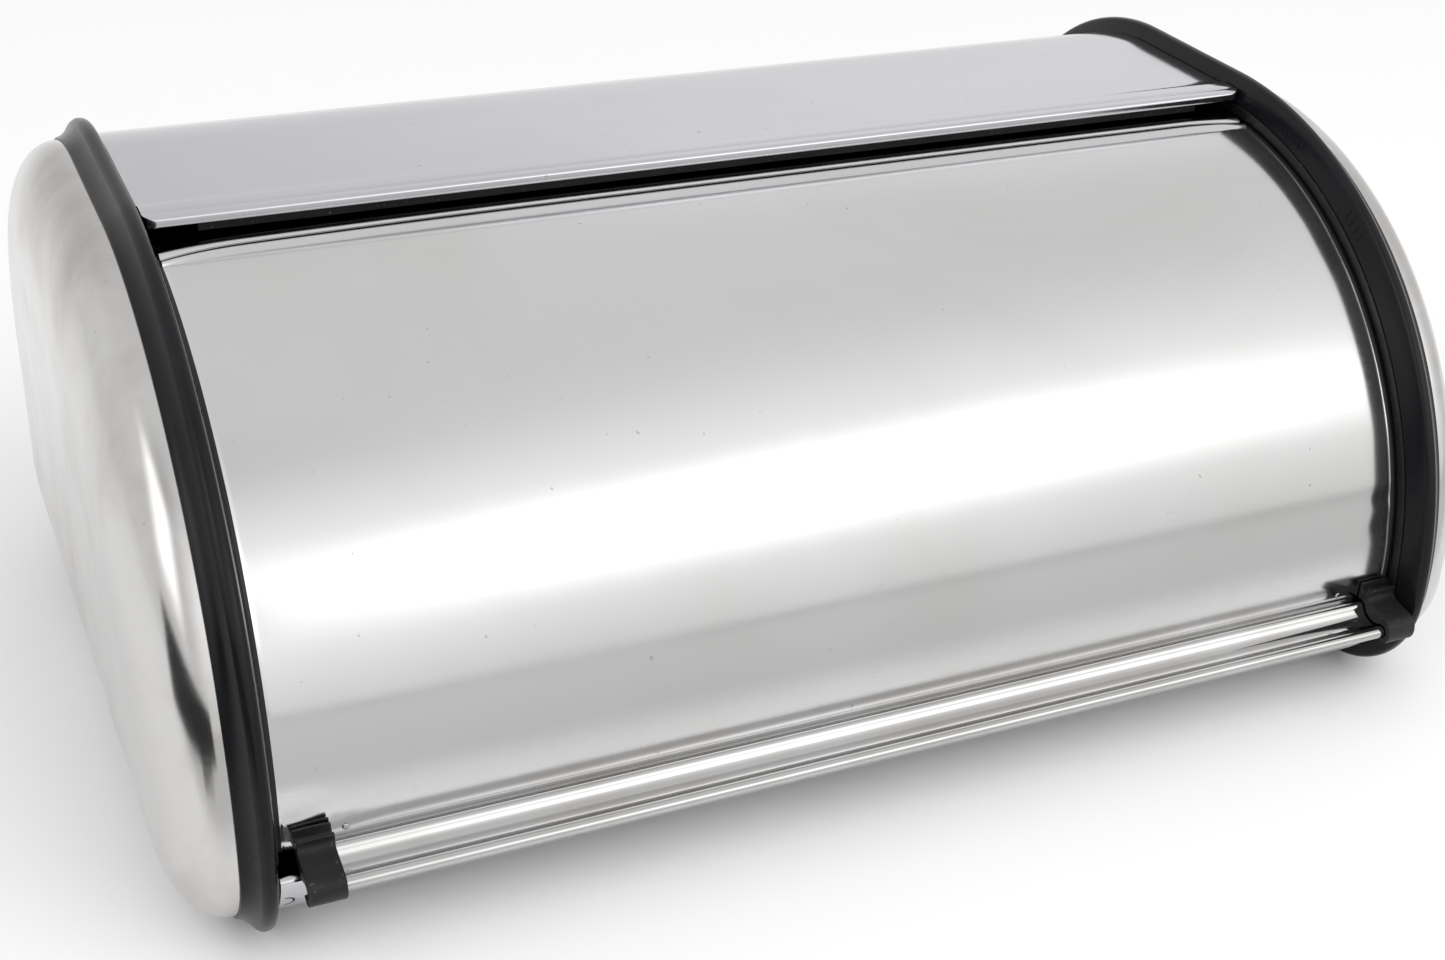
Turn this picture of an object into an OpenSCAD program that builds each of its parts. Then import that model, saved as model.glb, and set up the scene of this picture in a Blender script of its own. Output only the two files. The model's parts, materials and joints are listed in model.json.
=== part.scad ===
// Bread box with a rolling front door: a steel wrap held between two moulded side frames,
// domed steel end caps, and a curved steel door that turns about the centre of its own arc.
// Units are millimetres. X runs along the box, -Y is the front, +Z is up.
// The origin is on the ground, under the middle of the box.

// Which sub-part to draw

/* [Side outline] */
// Radius of the door arc measured at the ridge of the side frame
ridge_r = 138; // [120:0.5:160]
// Height of the door arc's centre above the ground
arc_z = 37.4; // [30:0.1:60]
// Distance from the arc's centre to the back of the frames
back_y = 142.4; // [120:0.1:160]
// Radius of the top back corner
back_corner_r = 90; // [40:1:100]
// Radius of the bottom corner at the back
foot_corner_r = 38; // [38:1:45]

/* [Length] */
// Half of the box's length to the ridge of a side frame
ridge_x = 190.5; // [150:0.5:220]
// How far the domed cap stands out past the frame
cap_depth = 19; // [12:0.5:30]
// Inset of the cap's rounding from its rim to the flat face
cap_round = 30; // [12:0.5:30]

/* [Sheet metal] */
// Thickness of the steel sheet
sheet_t = 0.6; // [0.4:0.1:1]
// How far the frame's ridge stands proud of the wrapped sheet
proud = 5; // [4:0.1:8]
// Angle of the hem's front edge about the arc's centre
hem_a = 92.6; // [90:0.1:96]
// Depth of the raised hem from front to back
hem_w = 9.7; // [6:0.1:10.6]
// Radius of the rolled edge along the hem
hem_roll = 1.5; // [1.2:0.1:2.5]
// Height of the front lip where its roll begins
lip_z = 29.4; // [24:0.1:32]

/* [Door] */
// Outer radius of the door sheet
door_r = 124.7; // [110:0.1:128]
// Half of the door sheet's length
door_x = 185.2; // [184:0.1:185.4]
// Angle of the pressed beads along the door's top edge about the arc's centre
door_top_a = 91.6; // [90:0.1:93]
// Height of the door sheet's bottom edge when closed
door_low_z = 35; // [33:0.1:38]
// Distance from the middle to the left end of the handle
handle_x = 180; // [130:1:181]
// Distance from the middle to the inner side of the left clip
clip_x0 = 171.8; // [171.8:0.1:175]
// Width of a handle clip along the box
clip_w = 10.6; // [8:0.1:11]

/* [Tracks] */
// Inner face of the tracks
track_x = 187; // [180:0.1:190]
// Thickness of the track plates
track_t = 4; // [3:0.1:6]
// Inner radius of the groove
groove_r0 = 123.1; // [118:0.1:124]
// Outer radius of the groove
groove_r1 = 125.5; // [125:0.1:128]
// Depth of the groove
groove_d = 2.6; // [2:0.1:3]

/* [Hidden] */
bc_y = back_y - back_corner_r;
bc_z = arc_z + ridge_r - back_corner_r;
fc_y = arc_z - ridge_r;
fb_y = back_y - foot_corner_r;
cap_x = ridge_x + 7.1;
shell_x = ridge_x - 3;
screw_angles = [172, 133, 94, 55, 16];
screw_r = 115;
rivet_x = 167.5;
rivet_z = 38.4;
eps = 0.01;

steel = [0.80, 0.80, 0.82];
door_steel = [0.86, 0.86, 0.87];
black_plastic = [0.10, 0.10, 0.11];
black_rubber = [0.13, 0.13, 0.13];
zinc = [0.62, 0.63, 0.65];

// ---------- helpers ----------

function pol(r, a) = [r * cos(a), arc_z + r * sin(a)];
function arc(c, r, a0, a1, n) =
  [for (i = [0:n]) let (a = a0 + (a1 - a0) * i / n) [c[0] + r * cos(a), c[1] + r * sin(a)]];
function unit(v) = v / norm(v);
function left(v) = [-v[1], v[0]];
// normal at point i of a path, scaled so that an offset keeps the sheet's thickness in bends
function bend(p, i) =
  let (n = len(p), a = i > 0 ? unit(p[i] - p[i - 1]) : unit(p[1] - p[0]),
    b = i < n - 1 ? unit(p[i + 1] - p[i]) : a, m = unit(a + b))
  left(m) / max(0.5, m * a);
// closed outline of a sheet of thickness t that follows the path p
function ribbon(p, t) = concat(
  [for (i = [0:len(p) - 1]) p[i] + bend(p, i) * t / 2],
  [for (j = [0:len(p) - 1]) let (i = len(p) - 1 - j) p[i] - bend(p, i) * t / 2]);
// side outline of the box, inset by s from the frame's ridge
function outline(s) = concat(
  arc([0, arc_z], ridge_r - s, 180, 90, 64),
  arc([bc_y, bc_z], back_corner_r - s, 90, 0, 44),
  arc([fb_y, foot_corner_r], foot_corner_r - s, 0, -90, 24),
  arc([fc_y, arc_z], arc_z - s, 270, 184, 22));

module along_x(x0, x1) translate([x0, 0, 0]) rotate([90, 0, 90]) linear_extrude(x1 - x0) children();
module both() {
  children();
  mirror([1, 0, 0]) children();
}
// turns a section drawn as [inset from the ridge, x] about one corner of the outline
module turn(c, r, a0, a1)
  translate([0, c[0], c[1]]) rotate([90, 0, 90]) rotate([0, 0, a0])
    rotate_extrude(angle = a1 - a0) translate([r, 0]) mirror([1, 0]) children();
// runs the same section along one straight side; m is the inward direction, d the run
module run(p, m, d, len)
  multmatrix([[0, 1, 0, 0], [m[0], 0, d[0], p[0]], [m[1], 0, d[1], p[1]], [0, 0, 0, 1]])
    linear_extrude(len) children();
module main_arc() turn([0, arc_z], ridge_r, 90, 180) children();
module back_corner() turn([bc_y, bc_z], back_corner_r, 0, 90) children();
module foot_back() turn([fb_y, foot_corner_r], foot_corner_r, -90, 0) children();
module foot_front() turn([fc_y, arc_z], arc_z, 180, 270) children();
module top_run(y0, y1) run([y1, arc_z + ridge_r], [0, -1], [-1, 0], y1 - y0) children();
module back_run() run([back_y, foot_corner_r], [-1, 0], [0, 1], bc_z - foot_corner_r) children();
module bottom_run() run([fc_y, 0], [0, 1], [1, 0], fb_y - fc_y) children();
module all_round() {
  main_arc() children();
  top_run(0, bc_y) children();
  back_corner() children();
  back_run() children();
  foot_back() children();
  bottom_run() children();
  foot_front() children();
}

// ---------- housing ----------

shell_r = ridge_r - proud - sheet_t / 2;
lip_r = arc_z - proud - sheet_t / 2;
lip_a = 180 + asin((arc_z - lip_z) / lip_r);
lip_p = [fc_y + lip_r * cos(lip_a), lip_z];
hem_end_a = hem_a - hem_w / shell_r * 180 / PI;
ledge_y = 5;
// a point on the top surface at radius r: on the arc in front of the crown, on the flat behind it
function over(r, a) = a >= 90 ? pol(r, a) : [r * (90 - a) * PI / 180, arc_z + r];
hem_path = concat(
  [for (a = [hem_a - 2:0.5:hem_a - 0.5]) over(shell_r + 0.9 - 2 * hem_roll, a)],
  [for (f = [-90:18:90])
    over(shell_r + 0.9 - hem_roll + hem_roll * sin(f), hem_a + hem_roll * cos(f) / shell_r * 57.3)],
  [for (a = [hem_a - 0.8:-0.9:hem_end_a + 0.5]) over(shell_r + 0.9, a)],
  [over(shell_r + 0.8, hem_end_a + 0.1), over(shell_r + 0.1, hem_end_a - 0.5),
   over(shell_r, hem_end_a - 0.8)]);
body_path = concat(
  arc([bc_y, bc_z], back_corner_r - proud - sheet_t / 2, 90, 0, 48),
  arc([fb_y, foot_corner_r], foot_corner_r - proud - sheet_t / 2, 0, -90, 24),
  arc([fc_y, arc_z], lip_r, 270, lip_a, 24));
lip_roll = [for (f = [160:-24:-20]) lip_p + [1.25, 0] + 1.25 * [cos(f), sin(f)]];

// wrapped sheet: hemmed front edge, top, back, bottom and the rolled front lip
module body_shell() {
  color(steel)
  difference() {
    along_x(-shell_x, shell_x) polygon(ribbon(concat(hem_path, body_path, lip_roll), sheet_t));
    both() lock_tab_cut();
    both() hem_corner_cut();
  }
}
// C-shaped cut that leaves a locking tongue in the front lip beside each frame
module lock_tab_cut() {
  a = 211;
  translate([186.2, fc_y, arc_z]) rotate([a - 180, 0, 0]) rotate([90, 0, 0])
    difference() {
      cylinder(r = 2.9, h = 40, $fn = 64);
      translate([0, 0, -1]) cylinder(r = 2.3, h = 42, $fn = 64);
      translate([0.3, -10, -2]) cube([10, 20, 50]);
    }
}
// rounds the hem's front corners
module hem_corner_cut()
  translate([shell_x - 3.5, pol(shell_r, hem_a)[0] + 3.1, 160])
    difference() {
      translate([0, -8, 0]) cube([8, 8, 20]);
      translate([0, 0, -1]) cylinder(r = 3.5, h = 22, $fn = 64);
    }

// section of the frame's ring as [inset from the ridge, x]: flared flank, ridge, inner wall and
// the groove that takes the cap's rim
ring_flank = [[5.2, 198.2], [4.75, 196.9], [4.05, 195.8], [3.1, 194.8], [2.0, 193.95], [1.0, 193.3],
  [0.35, 192.5], [0, 191.8], [0, 190.6], [0.25, 189.8], [0.8, 189.2], [1.7, 188.8]];
ring_groove = [[9, 187.4], [9, 196], [6.7, 196], [6.7, 191], [5.9, 191], [5.9, 198.2]];
// the ledge under the edge of the wrapped sheet
sheet_ledge = [[5.62, 188.04], [5.62, 181], [7.2, 181], [7.2, 187.75]];

// moulded side frame, drawn for the right-hand end
module frame() {
  difference() {
    union() {
      main_arc() plain_section();
      foot_front() plain_section();
      top_run(0, ledge_y) plain_section();
      top_run(ledge_y, bc_y) ledged_section();
      back_corner() ledged_section();
      back_run() ledged_section();
      foot_back() ledged_section();
      bottom_run() ledged_section();
      difference() {
        along_x(track_x + track_t, track_x + track_t + 1.6) polygon(outline(8));
        along_x(track_x, track_x + 20) web_opening();
      }
      for (a = screw_angles)
        at_screw(a) translate([0, 0, track_x + track_t]) cylinder(r = 3.6, h = 8, $fn = 48);
    }
    for (a = screw_angles) at_screw(a) translate([0, 0, track_x]) cylinder(r = 1.5, h = 11, $fn = 48);
  }
}
module plain_section() polygon(concat(ring_flank, ring_groove));
module ledged_section() polygon(concat(ring_flank, sheet_ledge, ring_groove));
module web_opening() intersection() {
  translate([0, arc_z]) circle(r = 108, $fn = 180);
  polygon(outline(24));
}
module at_screw(a) translate([0, screw_r * cos(a), arc_z + screw_r * sin(a)]) rotate([0, 90, 0]) children();

module frame_right() color(black_plastic) frame();
module frame_left() color(black_plastic) mirror([1, 0, 0]) frame();

// curved track plate with the groove that the door's edge runs in
module track()
  difference() {
    translate([0, 0, arc_z]) rotate([90, 0, 90]) rotate([0, 0, -6]) rotate_extrude(angle = 187.4)
      polygon([[109, track_x], [groove_r0, track_x], [groove_r0, track_x + groove_d],
        [groove_r1, track_x + groove_d], [groove_r1, track_x], [128.8, track_x],
        [128.8, track_x + track_t - eps], [109, track_x + track_t - eps]]);
    for (a = screw_angles) at_screw(a) translate([0, 0, track_x - 1]) cylinder(r = 1.8, h = 8, $fn = 48);
  }
module track_right() color(black_plastic) track();
module track_left() color(black_plastic) mirror([1, 0, 0]) track();

// pan-head screw that holds a track to its frame
module screws()
  for (a = screw_angles) at_screw(a) {
    translate([0, 0, track_x - 1.6]) cylinder(r = 3, h = 1.6, $fn = 48);
    translate([0, 0, track_x - 0.1]) cylinder(r = 1.45, h = 10.5, $fn = 48);
  }
module screws_right() color(zinc) screws();
module screws_left() color(zinc) mirror([1, 0, 0]) screws();

cap_path = concat([[6.3, 191.6], [6.3, cap_x + 1.9]],
  [for (f = [6:6:90]) [6.3 + cap_round - cap_round * cos(f), cap_x + 1.9 + (cap_depth - 2.2) * sin(f)]],
  [[7.3 + cap_round, cap_x + cap_depth - 0.3]]);
// pressed end cap, domed from its rim to a flat face
module cap() {
  all_round() polygon(ribbon(cap_path, sheet_t));
  along_x(cap_x + cap_depth - 0.3 - sheet_t / 2, cap_x + cap_depth - 0.3 + sheet_t / 2)
    polygon(outline(6.8 + cap_round));
}
module cap_right() color(steel) cap();
module cap_left() color(steel) mirror([1, 0, 0]) cap();

// black strip that closes the gap between the hem and the door
module cross_strip()
  color(black_plastic) translate([0, 0, arc_z]) rotate([hem_a - 1.1 - 90, 0, 0])
    along_x(-172, 172) polygon([[0, 126.7], [1.6, 126.7], [1.6, 129.4], [7, 128.9], [7, 130.2], [0, 130.3]]);

// ---------- door ----------

door_mid = door_r - sheet_t / 2;
door_low_a = 180 + asin((arc_z - door_low_z) / door_r);
bead_a = door_top_a + 5.0;
door_path = concat(
  [pol(door_mid - 0.5, 89.2), pol(door_mid - 0.5, door_top_a - 0.3), pol(door_mid + 0.45, door_top_a + 0.25),
   pol(door_mid + 0.95, door_top_a + 0.8),
   pol(door_mid + 1.05, door_top_a + 1.4), pol(door_mid + 0.75, door_top_a + 2.0),
   pol(door_mid + 0.25, door_top_a + 2.4), pol(door_mid + 0.55, door_top_a + 2.8),
   pol(door_mid + 0.85, door_top_a + 3.4), pol(door_mid + 0.75, door_top_a + 4.0),
   pol(door_mid + 0.25, door_top_a + 4.6)],
  arc([0, arc_z], door_mid, bead_a, door_low_a, 60));
// curved door sheet with two pressed beads along its top edge
module door_panel() {
  color(door_steel) difference() {
    along_x(-door_x, door_x) polygon(ribbon(door_path, sheet_t));
    both() rivet_hole();
  }
}
module rivet_hole()
  translate([rivet_x, -130, rivet_z]) rotate([-90, 0, 0]) cylinder(r = 0.65, h = 12, $fn = 32);

rail_leaf = [for (a = [176.5:0.7:180.7]) pol(door_r - 1.5 * sheet_t - 0.03, a)];
handle_path = concat(rail_leaf, [[-123.77, 34.9], [-123.9, 34.55], [-124.3, 34.2], [-124.9, 34.1],
  [-125.4, 34.5], [-126.0, 35.1], [-126.8, 35.4], [-127.6, 35.2], [-128.2, 34.6], [-128.7, 33.8],
  [-129.6, 32.7], [-131.0, 31.8], [-133.0, 31.3], [-135.0, 31.3], [-136.6, 31.8], [-137.7, 32.35],
  [-138.6, 32.4], [-139.45, 32.05], [-139.95, 31.2], [-139.85, 30.2], [-139.2, 29.5],
  [-138.2, 29.4], [-137.3, 29.9]]);
// rolled finger rail along the door's lower edge
module handle_rail() {
  color(door_steel) difference() {
    along_x(-handle_x, handle_x + 3.3) polygon(ribbon(handle_path, sheet_t));
    both() rivet_hole();
  }
}
// small rivets through the door sheet and the rail's inner leaf
module handle_rivets() color(steel) both() translate([rivet_x, 0, rivet_z]) rotate([-90, 0, 0]) {
  translate([0, 0, -door_r - 0.25]) cylinder(r = 1, h = 0.23, $fn = 32);
  translate([0, 0, -door_r - 0.1]) cylinder(r = 0.6, h = 1.5, $fn = 32);
  translate([0, 0, -123.44]) cylinder(r = 1, h = 0.4, $fn = 32);
}

// slim strip under the door's curved edge, with the rib that runs in the track
module edge_trim()
  translate([0, 0, arc_z]) rotate([90, 0, 90]) rotate([0, 0, door_top_a + 4.7])
    rotate_extrude(angle = door_low_a - door_top_a - 4.8)
      polygon([[123.0, 183.4], [door_r - sheet_t, 183.4], [door_r - sheet_t, door_x], [door_r + 0.1, door_x],
        [door_r + 0.1, 185.7], [124.95, 186.0], [124.95, 186.5], [124.9, 186.5], [124.9, 189.2],
        [123.5, 189.2], [123.5, 186.5], [123.0, 186.5]]);
module edge_trim_right() color(black_rubber) edge_trim();
module edge_trim_left() color(black_rubber) mirror([1, 0, 0]) edge_trim();

// soft clip over the rail's end: a strap round the finger rail with a notch that meets the hem
clip_section = [[-125.0, 41.9], [-125.0, 36.2], [-126.8, 36.15], [-127.9, 35.95], [-128.8, 35.2],
  [-129.3, 34.2], [-130.1, 33.3], [-131.3, 32.5], [-133.1, 32.0], [-134.9, 32.0], [-136.3, 32.45],
  [-137.5, 33.0], [-138.7, 33.1], [-139.9, 32.6], [-140.55, 31.4], [-140.45, 30.0], [-139.5, 28.95],
  [-138.1, 28.8], [-137.2, 29.2], [-136.6, 28.4], [-137.6, 27.4], [-139.4, 27.1], [-141.2, 27.9],
  [-142.1, 29.4], [-142.4, 31.2], [-142.2, 32.8], [-141.5, 34.2], [-140.2, 35.1], [-138.6, 35.6],
  [-136.0, 36.1], [-133.5, 36.6], [-131.4, 37.1], [-130.3, 37.6], [-129.7, 38.4], [-129.6, 39.5],
  [-130.1, 41.0], [-128.9, 41.4], [-128.2, 40.1], [-127.9, 39.4], [-127.3, 38.9], [-126.6, 39.2],
  [-126.2, 39.9], [-126.0, 40.8], [-125.9, 42.1]];
module clip(x0) along_x(x0, x0 + clip_w) polygon(clip_section);
module clip_right() color(black_rubber) clip(clip_x0 + 4.4);
module clip_left() color(black_rubber) clip(-clip_x0 - clip_w);

// ---------- draw ----------

body_shell();
frame_left();
frame_right();
track_left();
track_right();
cap_left();
cap_right();
cross_strip();
screws_left();
screws_right();
door_panel();
handle_rail();
handle_rivets();
edge_trim_left();
edge_trim_right();
clip_left();
clip_right();
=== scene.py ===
"""Roll-top bread box: the finished look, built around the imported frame. Metres, +Z up, -Y front."""

import json
import math

import bmesh
import bpy
from mathutils import Matrix, Vector, noise


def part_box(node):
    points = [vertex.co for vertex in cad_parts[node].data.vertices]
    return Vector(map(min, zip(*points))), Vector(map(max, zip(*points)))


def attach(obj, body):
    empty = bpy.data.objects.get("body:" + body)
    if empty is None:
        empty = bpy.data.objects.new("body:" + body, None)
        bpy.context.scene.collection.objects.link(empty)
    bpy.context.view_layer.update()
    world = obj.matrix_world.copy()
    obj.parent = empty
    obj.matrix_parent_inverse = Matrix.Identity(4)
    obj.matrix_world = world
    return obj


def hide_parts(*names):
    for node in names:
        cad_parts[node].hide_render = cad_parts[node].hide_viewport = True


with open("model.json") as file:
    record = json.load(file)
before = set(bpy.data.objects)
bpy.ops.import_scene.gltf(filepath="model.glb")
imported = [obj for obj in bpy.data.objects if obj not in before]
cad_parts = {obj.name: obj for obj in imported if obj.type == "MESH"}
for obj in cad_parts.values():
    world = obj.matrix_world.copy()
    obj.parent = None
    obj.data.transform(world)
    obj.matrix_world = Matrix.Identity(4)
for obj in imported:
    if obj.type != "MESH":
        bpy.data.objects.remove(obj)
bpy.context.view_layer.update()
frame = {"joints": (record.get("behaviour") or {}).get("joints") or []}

MM = 0.001
SIDES = (("left", -1), ("right", 1))

# ---------------------------------------------------------------- main sizes, in mm
ring_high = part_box("frame_right")[1] / MM
shell_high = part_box("body_shell")[1] / MM
door_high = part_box("door_panel")[1] / MM
cap_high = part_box("cap_right")[1] / MM
rail_low, rail_high = (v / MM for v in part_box("handle_rail"))
clip_box = {name: [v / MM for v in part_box(f"clip_{name}")] for name, _ in SIDES}
strip_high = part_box("cross_strip")[1] / MM

ARC_Z = frame["joints"][0]["pos_m"][2] / MM  # the door turns about the centre of its own arc
RIDGE_R = ring_high.z - ARC_Z  # the frames' outer edge over the door
BACK_Y = ring_high.y
BACK_R, FOOT_R = 90.0, 38.0  # the outline's upper and lower back corners
FRONT_R = ARC_Z  # its lower front corner
SHEET = 0.6
PROUD = 5.0  # how far the frames stand out past the sheet
BC_Y, BC_Z = BACK_Y - BACK_R, ring_high.z - BACK_R  # centres of those corners
FB_Y = BACK_Y - FOOT_R
FC_Y = FRONT_R - RIDGE_R
SHELL_X = shell_high.x
SHELL_R = RIDGE_R - PROUD - SHEET / 2
DOOR_X = door_high.x
DOOR_R = 124.7  # the door sheet's outer face
DOOR_MID = DOOR_R - SHEET / 2
HEM_A, HEM_W, HEM_ROLL, HEM_RISE = 92.6, 9.7, 1.5, 0.9  # the shell's front hem: angle, width, roll, rise
LIP_R = FRONT_R - PROUD - SHEET / 2
LIP_Z = 29.4
BEAD_A = 91.6  # angle of the bead on the door's top edge
SCREW_R, SCREW_ANGLES = 115.0, (172, 133, 94, 55, 16)
TAB_X, TAB_A, TAB_OUT_R, TAB_IN_R = 186.2, 211, 2.85, 2.3  # the locking tongues' slits in the front lip
RIVET_X, RIVET_Z = 167.5, 38.4
TRACK_X = 187.0  # the tracks' inner face


# ---------------------------------------------------------------- profile helpers
def pol(r, a):
    """A point at radius r and angle a (degrees) about the door's axis, as (y, z)."""
    t = math.radians(a)
    return (r * math.cos(t), ARC_Z + r * math.sin(t))


def arc(cy, cz, r, a0, a1, n):
    """Points of (y, z) along an arc, both ends included."""
    out = []
    for i in range(n + 1):
        t = math.radians(a0 + (a1 - a0) * i / n)
        out.append((cy + r * math.cos(t), cz + r * math.sin(t)))
    return out


def circle_angles(n):
    return [2 * math.pi * i / n for i in range(n)]


def spline(points, steps):
    """A smooth line through the points, with so many steps between neighbours."""
    n, out = len(points), []
    for i in range(n - 1):
        p0, p1, p2, p3 = (points[max(0, min(n - 1, k))] for k in (i - 1, i, i + 1, i + 2))
        for s in range(steps):
            t = s / steps
            out.append(tuple(
                0.5 * (2 * b + (c - a) * t + (2 * a - 5 * b + 4 * c - d) * t * t
                       + (3 * b - a - 3 * c + d) * t ** 3)
                for a, b, c, d in zip(p0, p1, p2, p3)))
    out.append(tuple(points[-1]))
    return out


def ribbon(path, thick):
    """The closed outline of a sheet of that thickness that follows a path of (y, z) points."""
    left, right = [], []
    n = len(path)
    for i, p in enumerate(path):
        a = Vector(path[i]) - Vector(path[i - 1]) if i else Vector(path[1]) - Vector(path[0])
        b = Vector(path[i + 1]) - Vector(path[i]) if i < n - 1 else a
        a, b = a.normalized(), b.normalized()
        m = (a + b).normalized()
        side = Vector((-m.y, m.x)) / max(0.6, m.dot(a)) * thick / 2
        left.append(tuple(Vector(p) + side))
        right.append(tuple(Vector(p) - side))
    return left + right[::-1]


def stations(main=110, corner=64, foot=30, top=12, back=8, bottom=16):
    """Points round the side outline, clockwise from the front, each with its inward direction."""
    out = []

    def corner_run(cy, cz, r, a0, a1, n):
        for i in range(n):
            t = math.radians(a0 + (a1 - a0) * i / n)
            c, s = math.cos(t), math.sin(t)
            out.append(((cy + r * c, cz + r * s), (-c, -s)))

    def side_run(p, q, m, n):
        for i in range(n):
            f = i / n
            out.append(((p[0] + (q[0] - p[0]) * f, p[1] + (q[1] - p[1]) * f), m))

    corner_run(0, ARC_Z, RIDGE_R, 180, 90, main)
    side_run((0, ring_high.z), (BC_Y, ring_high.z), (0, -1), top)
    corner_run(BC_Y, BC_Z, BACK_R, 90, 0, corner)
    side_run((BACK_Y, BC_Z), (BACK_Y, FOOT_R), (-1, 0), back)
    corner_run(FB_Y, FOOT_R, FOOT_R, 0, -90, foot)
    side_run((FB_Y, 0), (FC_Y, 0), (0, 1), bottom)
    corner_run(FC_Y, ARC_Z, FRONT_R, 270, 180, foot)
    return out


# ---------------------------------------------------------------- mesh helpers
def new_object(bm, name, material=None):
    """Puts a bmesh into the scene as an object and frees it."""
    mesh = bpy.data.meshes.new(name)
    bm.to_mesh(mesh)
    bm.free()
    if material:
        mesh.materials.append(material)
    made = bpy.data.objects.new(name, mesh)
    bpy.context.scene.collection.objects.link(made)
    return made


def shade_smooth(mesh, sharp):
    """Smooth shading, except over edges that bend by more than an angle in degrees."""
    for face in mesh.polygons:
        face.use_smooth = True
    mesh.set_sharp_from_angle(angle=math.radians(sharp))


def finish_mesh(bm, name, material, body, node, sharp):
    """Makes the piece that rides on a body, stands for a CAD node, which it hides, and has the given
    material.
    """
    bmesh.ops.recalc_face_normals(bm, faces=bm.faces)
    piece = new_object(bm, name, material)
    shade_smooth(piece.data, sharp)
    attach(piece, body)
    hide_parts(node)
    return piece


def loft(bm, rings, closed=False, ends=True):
    """Joins closed rings of points (mm) one after another; a closed loft joins the last to the first."""
    rows = [[bm.verts.new(Vector(p) * MM) for p in ring] for ring in rings]
    n = len(rings[0])
    for i in range(len(rows) if closed else len(rows) - 1):
        a, b = rows[i], rows[(i + 1) % len(rows)]
        for j in range(n):
            k = (j + 1) % n
            bm.faces.new((a[j], a[k], b[k], b[j]))
    if not closed and ends:
        bm.faces.new(rows[0])
        bm.faces.new(rows[-1])
    return rows


def sweep(bm, section, side, path, closed=True, ends=True):
    """Runs a section of (inset, x) points along outline stations."""
    rings = [[(side * x, p[0] + m[0] * s, p[1] + m[1] * s) for s, x in section] for p, m in path]
    return loft(bm, rings, closed, ends)


def turned(section, side, a0, a1, n):
    """Rings of a section of (radius, x) points turned about the door's axis."""
    out = []
    for i in range(n + 1):
        a = a0 + (a1 - a0) * i / n
        out.append([(side * x, *pol(r, a)) for r, x in section])
    return out


def wave(x, y, z, seed=0.0):
    """Smooth repeatable noise between about -1 and 1."""
    return noise.noise(Vector((x, y, z)) + Vector((seed, seed * 1.7, -seed)))


def spread(half, edge_steps, middle):
    """Stations along x, close together near both ends."""
    xs = sorted({half - e for e in edge_steps if e < half} | {half})
    inner = half - max(edge_steps)
    xs = [inner * (2 * i / middle - 1) for i in range(1, middle)] + xs + [-x for x in xs]
    return sorted(set(round(x, 4) for x in xs))


# ---------------------------------------------------------------- materials
def graph(name):
    """A new material with its node tree, its shader and the object coordinates."""
    mat = bpy.data.materials.new(name)
    mat.use_nodes = True
    tree = mat.node_tree
    shader = tree.nodes["Principled BSDF"]
    where = tree.nodes.new("ShaderNodeTexCoord").outputs["Object"]
    return mat, tree, shader, where


def noise_node(tree, where, scale, detail=3.0, rough=0.55, stretch=None, distort=0.0):
    if stretch:
        mapping = tree.nodes.new("ShaderNodeMapping")
        mapping.inputs["Scale"].default_value = stretch
        tree.links.new(where, mapping.inputs["Vector"])
        where = mapping.outputs["Vector"]
    tex = tree.nodes.new("ShaderNodeTexNoise")
    tree.links.new(where, tex.inputs["Vector"])
    tex.inputs["Scale"].default_value = scale
    tex.inputs["Detail"].default_value = detail
    tex.inputs["Roughness"].default_value = rough
    tex.inputs["Distortion"].default_value = distort
    return tex.outputs["Fac"]


def remap(tree, value, low, high, to_low, to_high, smooth=False):
    node = tree.nodes.new("ShaderNodeMapRange")
    if smooth:
        node.interpolation_type = "SMOOTHSTEP"
    tree.links.new(value, node.inputs["Value"])
    for key, v in (("From Min", low), ("From Max", high), ("To Min", to_low), ("To Max", to_high)):
        node.inputs[key].default_value = v
    return node.outputs["Result"]


def blend_colour(tree, factor, a, b):
    node = tree.nodes.new("ShaderNodeMix")
    node.data_type = "RGBA"
    tree.links.new(factor, node.inputs["Factor"])
    for socket, value in ((node.inputs[6], a), (node.inputs[7], b)):
        if isinstance(value, tuple):
            socket.default_value = (*value, 1)
        else:
            tree.links.new(value, socket)
    return node.outputs[2]


def maths(tree, operation, a, b):
    node = tree.nodes.new("ShaderNodeMath")
    node.operation = operation
    for socket, value in zip(node.inputs, (a, b)):
        if isinstance(value, (int, float)):
            socket.default_value = value
        else:
            tree.links.new(value, socket)
    return node.outputs[0]


def bump(tree, shader, height, distance, under=None):
    node = tree.nodes.new("ShaderNodeBump")
    node.inputs["Strength"].default_value = 1.0
    node.inputs["Distance"].default_value = distance
    tree.links.new(height, node.inputs["Height"])
    if under is not None:
        tree.links.new(under, node.inputs["Normal"])
    tree.links.new(node.outputs["Normal"], shader.inputs["Normal"])
    return node.outputs["Normal"]


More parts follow.
